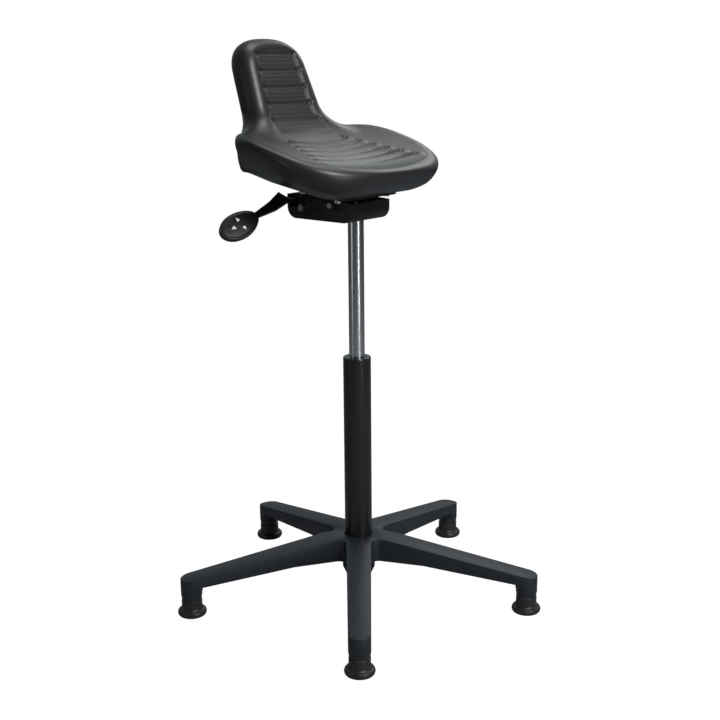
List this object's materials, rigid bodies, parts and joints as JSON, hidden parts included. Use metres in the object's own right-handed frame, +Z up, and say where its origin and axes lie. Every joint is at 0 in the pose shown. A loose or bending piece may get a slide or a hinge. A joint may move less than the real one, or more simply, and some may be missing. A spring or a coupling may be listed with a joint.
{
  "type": "perch stool",
  "caption": "Height-adjustable perch stool: low moulded seat with a short back, side lever, gas-spring column and a star base on round glides",
  "frame": {"origin": "on the floor, under the axis of the column", "axes": "+Z is up along the column. The seat faces -Y and the sitter's left is +X, so the lever is on the -X side."},
  "size_m": [0.6362, 0.651, 1.0001],
  "materials": {
    "base_black": "satin",
    "glide_black": "matte",
    "foam_black": "satin",
    "steel_black": "satin",
    "steel_plain": "satin",
    "tube_chrome": "polished",
    "guide_plastic": "gloss",
    "grip_plastic": "satin",
    "rubber_black": "matte",
    "board_wood": "matte",
    "symbol_white": "satin",
    "bearing_brass": "satin"
  },
  "bodies": {
    "base": {"star_base": "base_black", "glide_1": "glide_black", "glide_2": "glide_black", "glide_3": "glide_black", "glide_4": "glide_black", "glide_5": "glide_black", "glide_stems": "steel_plain", "column_tube": "steel_black", "column_guide": "guide_plastic", "tube_end_plate": "steel_plain", "lower_race": "steel_plain"},
    "rod_body": {"ball_cage": "bearing_brass", "bearing_balls": "steel_plain", "upper_race": "steel_plain", "rubber_buffer": "rubber_black", "buffer_washer": "steel_plain", "piston_rod": "steel_plain", "rod_clip": "steel_plain", "piston": "bearing_brass", "piston_nut": "steel_plain"},
    "lift_body": {"pressure_tube": "tube_chrome", "rod_guide": "guide_plastic", "valve_body": "bearing_brass", "cone_socket": "steel_black", "mechanism_tray": "steel_black", "pivot_rivets": "steel_plain", "clamp_bolt": "steel_plain", "clamp_nut": "steel_plain", "clamp_sleeve": "steel_plain", "lever_pin": "steel_plain", "lever_bracket": "steel_black"},
    "pin_body": {"release_pin": "steel_plain"},
    "lever_body": {"lever_arm": "steel_black", "lever_grip": "grip_plastic", "symbol_plate": "symbol_white"},
    "seat_body": {"seat_plate": "steel_black", "seat_bolts": "steel_plain", "seat_washers": "steel_plain", "threaded_sleeves": "steel_plain", "seat_insert": "board_wood", "seat_cushion": "foam_black"}
  },
  "joints": [
    {"name": "swivel", "type": "hinge", "parent": "base", "child": "rod_body", "pos_m": [0, 0, 0.06], "axis": [0, 0, 1], "continuous": true},
    {"name": "seat_height", "type": "slide", "parent": "rod_body", "child": "lift_body", "axis": [0, 0, 1], "range_m": [-0.235, 0]},
    {"name": "seat_tilt", "type": "hinge", "parent": "lift_body", "child": "seat_body", "pos_m": [0, 0.015, 0.724], "axis": [1, 0, 0], "range_deg": [-5, 3]},
    {"name": "height_lever", "type": "hinge", "parent": "lift_body", "child": "lever_body", "pos_m": [-0.036, 0.099, 0.724], "axis": [0, 1, 0], "range_deg": [0, 5], "stiffness_Nm_per_rad": 8, "springref_deg": -5.73},
    {"name": "valve_pin", "type": "slide", "parent": "lift_body", "child": "pin_body", "axis": [0, 0, 1], "range_m": [-0.0032, 0]}
  ],
  "couplings": [
    {"joint": "valve_pin", "follows": "height_lever", "m_per_rad": -0.036}
  ]
}
